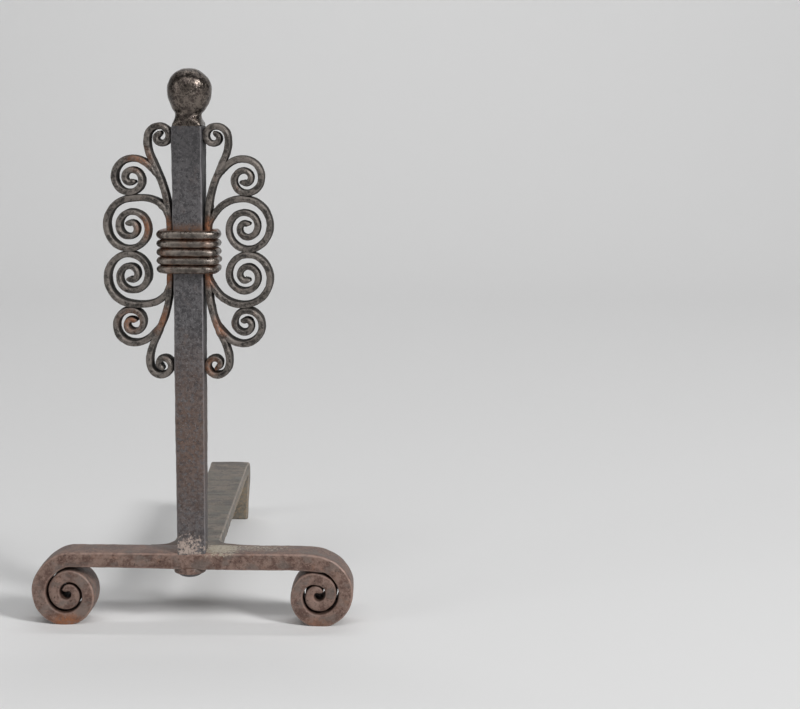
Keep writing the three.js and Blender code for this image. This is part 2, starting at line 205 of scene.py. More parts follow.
CROSSBAR_DENTS = (0.35 * MM, 16 * MM)
CROSSBAR_PITS = (0.2 * MM, 5 * MM)
POST_DENTS = (0.4 * MM, 22 * MM)
POST_PITS = (0.2 * MM, 6 * MM)
WASHER_DENTS = (0.3 * MM, 5 * MM)
FINIAL_DENTS = (0.6 * MM, 14 * MM)
FINIAL_PITS = (0.3 * MM, 4.5 * MM)
REST_DENTS = (0.5 * MM, 18 * MM)
REST_PITS = (0.35 * MM, 7 * MM)
REST_PITS_STRETCH = (0.3, 1.3, 0.5)
RING_DENTS = (0.35 * MM, 7 * MM)
RING_PITS = (0.3 * MM, 2.5 * MM)
STEM_DENTS = (0.35 * MM, 9 * MM)
SCROLL_DENTS = (0.4 * MM, 10 * MM)
BAR_PITS = (0.15 * MM, 3 * MM)
WELD_LUMPS = (0.9 * MM, 4 * MM)


# ---------- camera ----------

CAMERA_FROM_POST = Vector((177, -1420.5, 425.7)) * MM
CAMERA_PITCH = math.radians(7.71)
CAMERA_ROLL = math.radians(0.42)
CAMERA_LENS = 76.5


def make_camera():
    data = bpy.data.cameras.new("camera")
    data.lens = CAMERA_LENS
    data.sensor_width = 36
    data.clip_start = 0.05
    data.clip_end = 60
    camera = bpy.data.objects.new("camera", data)
    bpy.context.scene.collection.objects.link(camera)
    ahead = Vector((0, math.cos(CAMERA_PITCH), -math.sin(CAMERA_PITCH)))
    level = Vector((1, 0, 0))
    above = level.cross(ahead)
    right = level * math.cos(CAMERA_ROLL) + above * math.sin(CAMERA_ROLL)
    up = above * math.cos(CAMERA_ROLL) - level * math.sin(CAMERA_ROLL)
    turn = Matrix((right, up, -ahead)).transposed()
    place = CAMERA_FROM_POST + Vector((POST_X, POST_Y, 0))
    camera.matrix_world = Matrix.Translation(place) @ turn.to_4x4()
    bpy.context.scene.camera = camera


# ---------- pieces and their surfaces ----------

def new_piece(name, points, faces, material, node, edge):
    """A smooth-shaded piece from arrays, standing for one solid. edge is how near each
    vertex lies to a corner of its bar, from 0 to 1."""
    mesh = bpy.data.meshes.new(name)
    mesh.from_pydata([tuple(p) for p in points], [], faces)
    mesh.update()
    mesh.shade_smooth()
    mesh.materials.append(material)
    piece = bpy.data.objects.new(name, mesh)
    bpy.context.scene.collection.objects.link(piece)
    mark(piece, "edge", edge)
    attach(piece, "root")
    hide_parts(node)
    return piece


def coordinates(piece):
    co = np.empty(len(piece.data.vertices) * 3)
    piece.data.vertices.foreach_get("co", co)
    return co.reshape(-1, 3)


def hammer(piece, marks, seed, keep=None, stretch=(1, 1, 1)):
    """Moves the surface in and out by smooth noise. marks is its depth and its size, and
    keep scales it for each vertex."""
    depth, size = marks
    co = coordinates(piece)
    normals = np.empty(len(co) * 3)
    piece.data.vertices.foreach_get("normal", normals)
    normals = normals.reshape(-1, 3)
    shift = Vector((seed * 7.3, seed * 3.1, seed * 5.7))
    scale = np.array(stretch) / size
    amount = np.array([noise.noise(Vector(p * scale) + shift) for p in co]) * depth
    if keep is not None:
        amount *= keep
    piece.data.vertices.foreach_set("co", (co + normals * amount[:, None]).ravel())
    piece.data.update()


def keep_in(piece):
    """Keeps a hammered surface inside the box of the whole andiron."""
    co = np.clip(coordinates(piece), np.array(cad_bounds[0]), np.array(cad_bounds[1]))
    piece.data.vertices.foreach_set("co", co.ravel())
    piece.data.update()


def mark(piece, name, values):
    """Keeps one number for each vertex, for the materials to read."""
    piece.data.attributes.new(name, "FLOAT", "POINT").data.foreach_set(
        "value", np.asarray(values, np.float32))


def paint(piece, name, spots):
    """A vertex mask: the strongest of soft round spots, each (place, radius, strength)."""
    co = coordinates(piece)
    mask = np.zeros(len(co))
    for place, radius, strength in spots:
        away = np.linalg.norm((co - np.array(place)) / np.array(radius), axis=1)
        mask = np.maximum(mask, strength * np.clip(1.4 - away, 0, 1))
    mark(piece, name, mask)


# ---------- meshes ----------

def smooth(value, low, high):
    """0 up to low and 1 from high on, with an even step between them."""
    t = np.clip((value - low) / (high - low), 0, 1)
    return t * t * (3 - 2 * t)


CORNER_POINTS = 5
BROAD_POINTS = 5  # between two corners, along a broad side
NARROW_POINTS = 3


def bar_ring(thick, wide, edge, crown=0.0):
    """The rounded outline of a bar as [across its thickness, across its width], with how
    near each point lies to the middle of a corner and how far it lies on a broad side, both
    from 0 to 1. thick and wide are half sizes."""
    arcs = []
    for sx, sy, start in ((1, -1, -90), (1, 1, 0), (-1, 1, 90), (-1, -1, 180)):
        arc = []
        for i in range(CORNER_POINTS):
            a = math.radians(start + 90 * i / (CORNER_POINTS - 1))
            arc.append((sx * (thick - edge) + edge * math.cos(a),
                        sy * (wide - edge) + edge * math.sin(a)))
        arcs.append(arc)
    ring, near, broad = [], [], []
    for k, arc in enumerate(arcs):
        to_broad = k % 2 == 0
        ring += arc
        near += [math.sin(math.pi * (i + 0.5) / CORNER_POINTS) for i in range(CORNER_POINTS)]
        round_corner = [i / (CORNER_POINTS - 1) for i in range(CORNER_POINTS)]
        broad += round_corner if to_broad else [1 - v for v in round_corner]
        between = BROAD_POINTS if to_broad else NARROW_POINTS
        a, b = arc[-1], arcs[(k + 1) % 4][0]
        outward = ((1, 0), (0, 1), (-1, 0), (0, -1))[k]
        for i in range(1, between + 1):
            t = i / (between + 1)
            lift = crown * 4 * t * (1 - t)
            ring.append((a[0] + (b[0] - a[0]) * t + outward[0] * lift,
                         a[1] + (b[1] - a[1]) * t + outward[1] * lift))
            near.append(0.0)
            broad.append(float(to_broad))
    return ring, near, broad


def skin(rings, closed=False):
    """Faces over a row of rings, with both ends closed to a point unless the row closes."""
    count = len(rings[0])
    points = [p for ring in rings for p in ring]
    faces = []
    spans = len(rings) if closed else len(rings) - 1
    for i in range(spans):
        a = i * count
        b = (i + 1) % len(rings) * count
        for j in range(count):
            k = (j + 1) % count
            faces.append((a + j, a + k, b + k, b + j))
    if not closed:
        for first, turned in ((0, True), ((len(rings) - 1) * count, False)):
            middle = np.mean(points[first:first + count], axis=0)
            points.append(tuple(middle))
            tip = len(points) - 1
            for j in range(count):
                k = (j + 1) % count
                faces.append((first + k, first + j, tip) if turned
                             else (first + j, first + k, tip))
    return points, faces


def face_outward(points, faces):
    """Turns the faces round if the body they close has a negative volume."""
    p = np.array(points)
    volume = 0.0
    for face in faces:
        for i in range(1, len(face) - 1):
            a, b, c = p[face[0]], p[face[i]], p[face[i + 1]]
            volume += np.dot(a, np.cross(b, c))
    return faces if volume > 0 else [tuple(reversed(f)) for f in faces]


def lathe(profile, x, y, sides=64):
    """A round body from [radius, height] points."""
    rings = []
    for r, z in profile:
        rings.append([(x + r * math.cos(a), y + r * math.sin(a), z)
                      for a in np.linspace(0, 2 * math.pi, sides, endpoint=False)])
    points, faces = skin(rings)
    return points, face_outward(points, faces)


def resample(line, step):
    """Even stations on a line of [x, z, ...] rows; every column is carried along."""
    line = np.array(line, float)
    lengths = np.linalg.norm(np.diff(line[:, :2], axis=0), axis=1)
    at = np.concatenate([[0], np.cumsum(lengths)])
    stations = np.linspace(0, at[-1], max(2, round(at[-1] / step)) + 1)
    return np.stack([np.interp(stations, at, line[:, c]) for c in range(line.shape[1])], 1)


END_STEPS = ((0.0, 0.4), (0.1, 0.62), (0.32, 0.84), (0.72, 0.97))  # how far in, how full
END_ROUND = 0.42  # how far in a worn end reaches, as a share of the thickness
END_NARROWER = 0.25  # how much of that wear its width takes
EDGE_LIMIT = 0.42  # the largest corner, as a share of the thickness


def swept_bar(line, edge, y, crown):
    """A bar swept along a line in the XZ plane, with both ends worn round. line holds
    [x, z, thickness, width] rows. Returns its points and faces, and for each point how near
    it lies to a corner and how far it lies on a broad side."""
    line = np.array(line, float)
    ahead = np.gradient(line[:, :2], axis=0)
    ahead /= np.linalg.norm(ahead, axis=1)[:, None]
    rings, near, broad = [], [], []
    last = len(line) - 1

    def add(i, back, shrink):
        x, z, thick, wide = line[i]
        t = ahead[i]
        ring, ring_near, ring_broad = bar_ring(
            thick / 2 * shrink, wide / 2 * (1 - (1 - shrink) * END_NARROWER),
            min(edge, thick * EDGE_LIMIT) * shrink, crown)
        rings.append([(x + t[0] * back - t[1] * n, y + w, z + t[1] * back + t[0] * n)
                      for n, w in ring])
        near.extend([max(v, 1 - shrink) for v in ring_near])
        broad.extend(ring_broad)

    for along, shrink in END_STEPS:
        add(0, along * END_ROUND * line[0, 2], shrink)
    for i in range(2, last - 1):
        add(i, 0, 1)
    for along, shrink in reversed(END_STEPS):
        add(last, -along * END_ROUND * line[-1, 2], shrink)
    points, faces = skin(rings)
    near += [0.5, 0.5]
    broad += [1, 1]
    return points, face_outward(points, faces), near, broad


# ---------- lines of the stems and the scrolls ----------

def roll(form, angle, way, steps=160):
    """The centre line of a roll in metres, measured from the post's middle. It begins at
    angle and winds counterclockwise where way is 1, clockwise where way is -1."""
    turn = np.linspace(0, form["turns"], steps)
    radius = form["start"] - form["fall"] * turn + form["ease"] * turn ** 2
    at = angle + way * 2 * np.pi * turn
    return np.stack([
        STEM_LINE + (form["out"] + form["squeeze"] * radius * np.cos(at)) * MM,
        (form["up"] + radius * np.sin(at)) * MM,
    ], 1)


def bezier(a, b, c, d, steps=60):
    t = np.linspace(0, 1, steps)[:, None]
    return (1 - t) ** 3 * a + 3 * (1 - t) ** 2 * t * b + 3 * (1 - t) * t ** 2 * c + t ** 3 * d


def lead_in(start, along, rise, points, run):
    """The curve from start to the first of the roll's points, without that point."""
    arriving = points[1] - points[0]
    arriving /= np.linalg.norm(arriving)
    curve = bezier(start, start + along * rise, points[0] - arriving * run, points[0])
    return curve[:-1]


def upper_stem():
    """The upper half of the right stem above its straight part: the bow and the roll."""
    end = roll(SMALL, 0, 1)
    start = np.array([STEM_LINE, STEM_STRAIGHT])
    lead = lead_in(start, np.array([0, 1.0]), STEM_RISE, end, STEM_RUN)
    return lead, end


def with_sections(lead, body, root=1.0):
    """Adds thickness and width. The bar keeps its section along lead and is drawn out
    towards its knobbed tip along body; root is the share of its thickness it begins with."""
    rows = []
    for i, p in enumerate(lead):
        t = min(1.0, i / (ROOT_GROWS * len(lead)))
        rows.append([*p, BAR_THICKNESS * (root + (1 - root) * t), BAR_WIDTH])
    for i, p in enumerate(body):
        t = i / (len(body) - 1)
        knob = KNOB * max(0, (t - KNOB_FROM) / KNOB_LENGTH)
        rows.append([*p, BAR_THICKNESS + (BAR_TIP - BAR_THICKNESS) * t + knob,
                     BAR_WIDTH + (BAR_TIP_WIDTH - BAR_WIDTH) * t * t])
    return np.array(rows)


def scroll_line(form, arm):
    """An arm of the upper right quarter: its scarfed root on the stem's line, and its roll."""
    body = roll(form, math.pi / 2, -1)
    lead, end = upper_stem()
    stem = np.concatenate([[[STEM_LINE, 0]], lead, end])
    root = arm["root"] * MM
    i = int(np.argmax(stem[:, 1] > root))
    along = stem[i] - stem[i - 1]
    along /= np.linalg.norm(along)
    start = stem[i - 1] + along * (root - stem[i - 1][1]) / along[1]
    start = start + np.array([along[1], -along[0]]) * ROOT_OUT
    lead = lead_in(start, along, arm["rise"] * MM, body, arm["run"] * MM)
    return with_sections(lead, body, ROOT_THIN)


def stem_line():
    """The whole right stem, from its lower roll to its upper one."""
    upper = with_sections(*upper_stem())
    straight = np.linspace(0, STEM_STRAIGHT, 12)[:-1]
    middle = np.stack([np.full_like(straight, STEM_LINE), straight,
                       np.full_like(straight, BAR_THICKNESS),
                       np.full_like(straight, BAR_WIDTH)], 1)
    half = np.concatenate([middle, upper])
    mirrored = half[::-1] * np.array([1, -1, 1, 1])
    return np.concatenate([mirrored[:-1], half])


def turned_line(line, right, upper):
    """A line of the upper right quarter, moved to another quarter and to its place."""
    line = line.copy()
    if right:
        by_stem = 1 - smooth(line[:, 0] - STEM_LINE, *BOW_REACH)
        line[:, 0] += RIGHT_BOW * by_stem * (1 - smooth(np.abs(line[:, 1]), *BOW_ENDS))
    line[:, 0] = POST_X + line[:, 0] * (1 if right else -1)
    line[:, 1] = COLLAR_Z + line[:, 1] * (1 if upper else -1)
    return line


# ---------- materials ----------

class Nodes:
    """The nodes of one new material, with a short call for each kind in use."""

    def __init__(self, name):
        self.material = bpy.data.materials.new(name)
        self.material.use_nodes = True
        self.tree = self.material.node_tree
        self.tree.nodes.clear()
        self.place = self.add("ShaderNodeTexCoord").outputs["Object"]

    def add(self, kind, **values):
        made = self.tree.nodes.new(kind)
        for key, value in values.items():
            if key in made.inputs:
                made.inputs[key].default_value = value
            else:
                setattr(made, key, value)
        return made

    def join(self, value, socket):
        """Gives a socket a number, a colour or another node's output."""
        if isinstance(value, tuple):
            socket.default_value = (*value, 1)
        elif isinstance(value, (int, float)):
            socket.default_value = value
        else:
            self.tree.links.new(value, socket)

    def mask(self, name):
        return self.add("ShaderNodeAttribute", attribute_name=name).outputs["Fac"]

    def noise(self, scale, detail=4, rough=0.6, distortion=0.0):
        made = self.add("ShaderNodeTexNoise", Scale=scale, Detail=detail, Roughness=rough,
                        Distortion=distortion)
        self.join(self.place, made.inputs["Vector"])
        return made.outputs["Fac"]

    def stretched_noise(self, scales, detail):
        stretched = self.add("ShaderNodeMapping")
        stretched.inputs["Scale"].default_value = scales
        self.join(self.place, stretched.inputs["Vector"])
        made = self.add("ShaderNodeTexNoise", Scale=1.0, Detail=detail, Roughness=0.6)
        self.join(stretched.outputs["Vector"], made.inputs["Vector"])
        return made.outputs["Fac"]

    def ramp(self, value, low, high, to_low=0.0, to_high=1.0):
        made = self.add("ShaderNodeMapRange", interpolation_type="SMOOTHSTEP")
        self.join(value, made.inputs["Value"])
        for key, number in (("From Min", low), ("From Max", high),
                            ("To Min", to_low), ("To Max", to_high)):
            made.inputs[key].default_value = number
        return made.outputs["Result"]

    def maths(self, operation, a, b):
        made = self.add("ShaderNodeMath", operation=operation)
        for socket, value in zip(made.inputs, (a, b)):
            self.join(value, socket)
        return made.outputs[0]

    def mix(self, factor, a, b):
        made = self.add("ShaderNodeMix", data_type="RGBA")
        sockets = [s for s in made.inputs if s.enabled]
        for socket, value in zip(sockets, (factor, a, b)):
            self.join(value, socket)
        return next(s for s in made.outputs if s.enabled)


def shade_of(colour, share, more=0.0):
    return tuple(min(1, share * c + more) for c in colour)


# how fine each layer of the iron is: its noise's scale in spots to the metre
CLOUDS = 70
MOTTLE = 280
GRAIN = 420
PALE_GRAINS = 620
GRIT = 1300
PITS = 520
BARE_AND_HIGHLIGHT_EDGES = 150
RUST_BLOOMS = 110
RUST_FLAKES = 300
CRUST = 380
DRAWN_LINES = (60, 600, 60)
SHADE_STRENGTH = 0.76  # how much of the colour the painted shade mask hides


def iron(name, dark, light, rust, rust_amount=0.2, ash_and_light=None, bands=None,
         banding=(25, 80, 25), cloud=0.6, edge_wear_and_highlight=0.5, roughness=(0.36, 0.56),
         metallic=0.45, grain=1.0, speckle=0.5, striation=0.0):
    """Old wrought iron: two tones of scale in patches with pale grains and dark pits, bare
    worn corners that also carry a painted highlight, rust where the rust mask or its own blooms
    put it, painted shade where the shade mask is, and ash where its mask is, which on the log
    rest's leg also paints light."""
    nodes = Nodes(name)
    ramp, maths, mix = nodes.ramp, nodes.maths, nodes.mix
    edge, rusted, ash_and_light_mask, shade_mask = map(nodes.mask, ("edge", "rust", "ash_and_light", "painted_shade"))

    fine = nodes.noise(GRAIN, 6, 0.7)
    patches = maths("ADD", maths("MULTIPLY", nodes.noise(CLOUDS, 4, 0.6), cloud),
                    maths("MULTIPLY", nodes.noise(MOTTLE, 5, 0.75), 1 - cloud))
    colour = mix(ramp(patches, 0.42, 0.58), dark, light)
    colour = mix(ramp(nodes.noise(PALE_GRAINS, 4, 0.7), 0.54, 0.68, 0, speckle), colour,
                 shade_of(light, 1.5, 0.02))
    colour = mix(ramp(fine, 0.44, 0.33, 0.0, 0.85), colour, shade_of(dark, 0.25))
    if bands:
        streaks = ramp(nodes.stretched_noise(banding, 4), 0.48, 0.62, 0, 0.55)
        colour = mix(streaks, colour, bands)
    # bare worn metal on the corners, lightened also as a painted highlight along them
    bare_and_highlight = maths("MULTIPLY", ramp(edge, 0.45, 1.0, 0, edge_wear_and_highlight),
                 ramp(nodes.noise(BARE_AND_HIGHLIGHT_EDGES), 0.3, 0.6, 0.4, 1))
    colour = mix(bare_and_highlight, colour, shade_of(light, 1.9, 0.04))
    blooms = ramp(nodes.noise(RUST_BLOOMS, 6, 0.7, 0.4), 0.60 - 0.2 * rust_amount, 0.76,
                  0, rust_amount)
    rusty = maths("ADD", maths("MULTIPLY", rusted, 0.95), blooms)
    flakes = ramp(nodes.noise(RUST_FLAKES, 5, 0.75), 0.36, 0.56, 0.15, 1)
    rusty = maths("MULTIPLY", rusty, flakes)
    colour = mix(rusty, colour, rust)
    # painted shade: darker, duller colour where the shade mask is
    colour = mix(maths("MULTIPLY", shade_mask, SHADE_STRENGTH), colour, shade_of(dark, 0.42))
    if ash_and_light:
        crust = ramp(maths("ADD", nodes.noise(CRUST, 6, 0.8), maths("MULTIPLY", ash_and_light_mask, 0.2)),
                     0.56, 0.68)
        colour = mix(maths("MULTIPLY", crust, ramp(ash_and_light_mask, 0, 0.25)), colour, ash_and_light)

    height = maths("ADD", maths("MULTIPLY", fine, 0.6),
                   maths("MULTIPLY", nodes.noise(GRIT, 3, 0.6), 0.35))
    pits = ramp(nodes.noise(PITS, 2, 0.5), 0.28, 0.42)
    height = maths("ADD", height, maths("MULTIPLY", pits, 0.5))
    if striation:
        lines = nodes.stretched_noise(DRAWN_LINES, 3)
        height = maths("ADD", height, maths("MULTIPLY", lines, striation))
    bump = nodes.add("ShaderNodeBump", Strength=0.55 * grain, Distance=0.0006)
    nodes.join(height, bump.inputs["Height"])

    shine = maths("MULTIPLY", maths("SUBTRACT", 1, shade_mask), metallic)
    gloss = maths("MULTIPLY", maths("SUBTRACT", 1.15, shade_mask), 0.5)
    rough = maths("ADD", ramp(patches, 0.4, 0.6, roughness[0], roughness[1]),
                  maths("ADD", maths("MULTIPLY", rusty, 0.2), maths("MULTIPLY", shade_mask, 0.3)))
    shader = nodes.add("ShaderNodeBsdfPrincipled")
    nodes.join(colour, shader.inputs["Base Color"])
    nodes.join(shine, shader.inputs["Metallic"])
    nodes.join(gloss, shader.inputs["Specular IOR Level"])
    nodes.join(rough, shader.inputs["Roughness"])
    nodes.join(bump.outputs["Normal"], shader.inputs["Normal"])
    out = nodes.add("ShaderNodeOutputMaterial")
    nodes.join(shader.outputs["BSDF"], out.inputs["Surface"])
    return nodes.material


RUST = (0.30, 0.115, 0.048)
BROWN = (0.150, 0.085, 0.058)

scroll_iron = iron("scroll_iron", (0.047, 0.042, 0.038), (0.188, 0.165, 0.147), RUST,
                   rust_amount=0.2, edge_wear_and_highlight=0.35, speckle=0.35, cloud=0.5,
                   roughness=(0.3, 0.44), metallic=0.65)
collar_iron = iron("collar_iron", (0.095, 0.082, 0.073), (0.300, 0.258, 0.224), RUST,
                   rust_amount=0.35, roughness=(0.22, 0.34), metallic=0.85, cloud=0.5)
post_iron = iron("post_iron", (0.062, 0.059, 0.062), (0.124, 0.118, 0.122),
                 (0.185, 0.100, 0.062), rust_amount=0.3, ash_and_light=(0.46, 0.37, 0.32),
                 speckle=0.8, cloud=0.3, edge_wear_and_highlight=0.8)
ball_iron = iron("ball_iron", (0.058, 0.046, 0.041), (0.176, 0.147, 0.126), BROWN,
                 rust_amount=0.2, grain=0.9, roughness=(0.19, 0.3), metallic=0.9,
                 cloud=0.25)
bar_iron = iron("bar_iron", (0.108, 0.060, 0.046), (0.235, 0.156, 0.126), RUST,
                rust_amount=0.35, ash_and_light=(0.44, 0.39, 0.30), bands=(0.150, 0.128, 0.114),
                banding=(60, 60, 90), metallic=0.3, roughness=(0.42, 0.6), edge_wear_and_highlight=0.4)
# its ash colour also paints light on the rear leg's front face
rest_iron = iron("rest_iron", (0.085, 0.072, 0.060), (0.230, 0.196, 0.164), BROWN,
                 rust_amount=0.3, ash_and_light=(0.27, 0.200, 0.130), bands=(0.155, 0.148, 0.122),
                 metallic=0.3, roughness=(0.45, 0.62), striation=1.0, speckle=0.35,
                 cloud=0.7)


# ---------- front bar ----------

def foot_start():
    """The radius at which a foot's roll begins. Half a turn later the roll would lie
    FOOT_WEAR below the floor, and there it is worn flat."""
    closing = FOOT_FALL * 0.5 - FOOT_EASE * 0.25
    return (BAR_TOP + FOOT_WEAR + closing) / 2


def foot_radius(turn):
    """The outer radius of a foot's roll, with a flattened shoulder in its first quarter."""
    shoulder = np.where(turn < 0.25, FOOT_SHOULDER * np.sin(4 * np.pi * turn) ** 2, 0)
    return foot_start() - FOOT_FALL * turn + FOOT_EASE * turn ** 2 - shoulder


def foot_eye():
    """The middle of the right foot's roll, as [x, z]."""
    reach = FOOT_SQUEEZE * float(foot_radius(np.array(FOOT_WIDEST)))
    return BAR_HIGH.x - reach, BAR_TOP - foot_start()


def foot_line():
    """The right foot's roll as [x, z, thickness, width] rows."""
    eye_x, eye_z = foot_eye()
    early = math.atan(FOOT_FALL / (2 * math.pi) / foot_start())
    turn = np.linspace(0, FOOT_TURNS, 300)
    inner = smooth(turn, *FOOT_INNER)
    thick = FOOT_THICKNESS + (FOOT_TIP - FOOT_THICKNESS) * turn / FOOT_TURNS
    thick += FOOT_FULLER * inner * (1 - smooth(turn, FOOT_THIN, FOOT_TURNS))
    radius = foot_radius(turn) + FOOT_TIGHTER * inner - thick / 2
    at = math.pi / 2 + early - 2 * math.pi * turn
    x = eye_x + FOOT_SQUEEZE * radius * np.cos(at)
    z = eye_z + radius * np.sin(at)
    z += BAR_TOP - FOOT_THICKNESS / 2 - z[0]
    wide = np.full_like(turn, BAR_REAR - FRONT)
    for less, first, last in FOOT_NARROWER:
        wide -= less * smooth(turn, first, last)
    return np.stack([x, z, thick, wide], 1)


def crossbar_line():
    """Both feet and the bar between them, with what the smith left uneven."""
    right = foot_line()
    left = right[::-1] * np.array([-1, 1, 1, 1])
    line = resample(np.concatenate([left, right]), CROSSBAR_STEP)
    straight = smooth(line[:, 1], BAR_TOP - 9 * MM, BAR_TOP - 6.6 * MM)
    upset = BAR_UPSET * smooth(line[:, 0], BAR_UPSET_FROM, BAR_UPSET_TO) * straight
    line[:, 2] += upset
    line[:, 1] += BAR_LIFT * straight - upset / 2
    line[:, 1] -= BAR_SAG * np.exp(-((line[:, 0] - BAR_SAG_X) / BAR_SAG_REACH) ** 2) * (
        line[:, 1] > BAR_TOP - 25 * MM)
    return line


def make_crossbar():
    points, faces, near, broad = swept_bar(crossbar_line(), FOOT_EDGE,
                                           (FRONT + BAR_REAR) / 2, CROSSBAR_CROWN)
    piece = new_piece("crossbar_forged", points, faces, bar_iron, "crossbar", near)
    eye_x, eye_z = foot_eye()
    co = coordinates(piece)
    from_eye = np.hypot(np.abs(co[:, 0]) - eye_x, co[:, 2] - eye_z)
    # painted shade on the broad sides inside each roll, fading out away from its eye
    mark(piece, "painted_shade", np.array(broad) * (1 - smooth(from_eye, *FOOT_SHADE)))
    hammer(piece, CROSSBAR_DENTS, 1)
    hammer(piece, CROSSBAR_PITS, 2)
    keep_in(piece)
    # rust by the worn flats of the feet, and ash on the bar's top, to the right of the post
    paint(piece, "rust", [
        ((-eye_x, FRONT, 2 * MM), (14 * MM, 14 * MM, 7 * MM), 1.0),
        ((eye_x, FRONT, 2 * MM), (12 * MM, 14 * MM, 5 * MM), 0.4),
    ])
    paint(piece, "ash_and_light", [
        ((POST_X + 24 * MM, FRONT + 18 * MM, BAR_TOP + 1 * MM), (18 * MM, 20 * MM, 5 * MM), 1.0),
        ((POST_X + 55 * MM, FRONT + 22 * MM, BAR_TOP + 1 * MM), (30 * MM, 12 * MM, 4 * MM), 0.5),
    ])


# ---------- post ----------

def at_height(table, z):
    """The value at height z from a table of (mm up, value) rows."""
    heights, values = zip(*table)
    return float(np.interp(z / MM, heights, values))


def twisted(x, y, degrees):
    """Turned clockwise as seen from above."""
    c, s = math.cos(math.radians(degrees)), math.sin(math.radians(degrees))
    return x * c + y * s, y * c - x * s


def head_mesh():
    """The tenon, riveted over below its washer."""
    middle = (WASHER_LOW + WASHER_HIGH) / 2
    top = WASHER_LOW.z - WASHER_THICKER
    height = HEAD_HEIGHT - WASHER_THICKER
    profile = []
    for a in np.linspace(0.06, math.pi / 2, 14):
        profile.append((HEAD_RADIUS * math.sin(a) ** 0.9, top - height * math.cos(a) ** 1.1))
    profile += [(HEAD_RADIUS * 0.97, top + 0.2 * MM), (HEAD_INNER, top + 0.4 * MM)]
    return lathe(profile, middle.x, middle.y)


def make_post():
    rings, near, painted_shade = [], [], []
    heights = np.linspace(BAR_TOP - 1 * MM, POST_TOP, POST_STATIONS)
    for i, z in enumerate(heights):
        worn = POST_TOP_WORN if i == len(heights) - 1 else 0.0
        half = at_height(POST_TAPER, z) / 2 * MM - worn
        ring, ring_near, broad = bar_ring(half, half, POST_EDGE)
        turned = [twisted(a, b, at_height(POST_TWIST, z)) for a, b in ring]
        rings.append([(POST_X + POST_SHIFT + a, POST_Y + b, z) for a, b in turned])
        near += ring_near
        # painted shade: the side faces darker, and all faces darker towards the top
        upper = POST_SHADE_TOP * float(smooth(z, POST_SHADE_FROM, POST_TOP))
        painted_shade += [max(POST_SHADE_SIDES * v, upper) for v in broad]
    points, faces = skin(rings)
    faces = face_outward(points, faces)
    head_points, head_faces = head_mesh()
    faces += [tuple(i + len(points) for i in face) for face in head_faces]
    points += head_points
    clean = [0] * (len(points) - len(near))
    piece = new_piece("post_forged", points, faces, post_iron, "post", near + clean)
    mark(piece, "painted_shade", painted_shade + clean)
    above_bar = np.clip((coordinates(piece)[:, 2] - BAR_TOP) / (4 * MM), 0.1, 1)
    hammer(piece, POST_DENTS, 3, above_bar)
    hammer(piece, POST_PITS, 4, above_bar)
    # a line of rust above the collar, a bloom low on the post, and ash crust at its foot
    paint(piece, "rust", [
        ((POST_X, POST_Y, COLLAR_Z + 18 * MM), (40 * MM, 40 * MM, 5 * MM), 1.0),
        ((POST_X, POST_Y, 160 * MM), (30 * MM, 30 * MM, 75 * MM), 0.55),
    ])
    paint(piece, "ash_and_light", [
        ((POST_X - 3 * MM, FRONT + 10 * MM, BAR_TOP + 4 * MM), (15 * MM, 20 * MM, 13 * MM), 1.0),
    ])


def make_washer():
    middle = (WASHER_LOW + WASHER_HIGH) / 2
    radius = (WASHER_HIGH.x - WASHER_LOW.x) / 2
    low, high = WASHER_LOW.z - WASHER_THICKER, WASHER_HIGH.z
    inset = 0.3 * WASHER_EDGE
    profile = [(WASHER_INNER, low), (radius - WASHER_EDGE, low), (radius - inset, low + inset),
               (radius, low + WASHER_EDGE), (radius, high - WASHER_EDGE),
               (radius - inset, high - inset), (radius - WASHER_EDGE, high),
               (WASHER_INNER, high)]
    points, faces = lathe(profile, middle.x, middle.y)
    piece = new_piece("washer_forged", points, faces, bar_iron, "tenon_washer",
                      np.zeros(len(points)))
    hammer(piece, WASHER_DENTS, 5)
    keep_in(piece)


# ---------- finial ----------

def superellipse(half, power, x, y, z, sides=120):
    """A ring between a circle, at power 2, and a square with the post's turn."""
    ring = []
    for a in np.linspace(0, 2 * math.pi, sides, endpoint=False):
        c, s = math.cos(a), math.sin(a)
        r = half / (abs(c) ** power + abs(s) ** power) ** (1 / power)
        across, along = twisted(r * c, r * s, POST_TWIST[-1][1])
        ring.append((x + across, y + along, z))
    return ring


def finial_shape():
    """Rows of height above the post, half width, how square, and share of the lean."""
    shape = [
        (0, 0.4 * FINIAL_BASE, 2, 0),
        (0, FINIAL_BASE - 0.3 * MM, 9, 0),
        (0.3 * MM, FINIAL_BASE, 9, 0),
        (0.2 * NECK_HEIGHT, FINIAL_BASE - 0.1 * MM, 8, 0),
        (0.45 * NECK_HEIGHT, 11.9 * MM, 4.5, 0),
        (0.75 * NECK_HEIGHT, 11.3 * MM, 2.6, 0),
        (NECK_HEIGHT, NECK_RADIUS, 2.1, 0),
        (1.2 * NECK_HEIGHT, NECK_RADIUS + 0.15 * MM, 2, 0.1),
    ]
    lowest = -math.acos(CREASE_RADIUS / BALL_RADIUS)
    for a in np.linspace(lowest, math.pi / 2 - 0.02, 40):
        height = BALL_HEIGHT + (BALL_CROWN if a > 0 else BALL_TAPER) * math.sin(a)
        shape.append((height, BALL_RADIUS * math.cos(a), 2, min(1, 0.5 + a - lowest)))
    return np.array(shape)


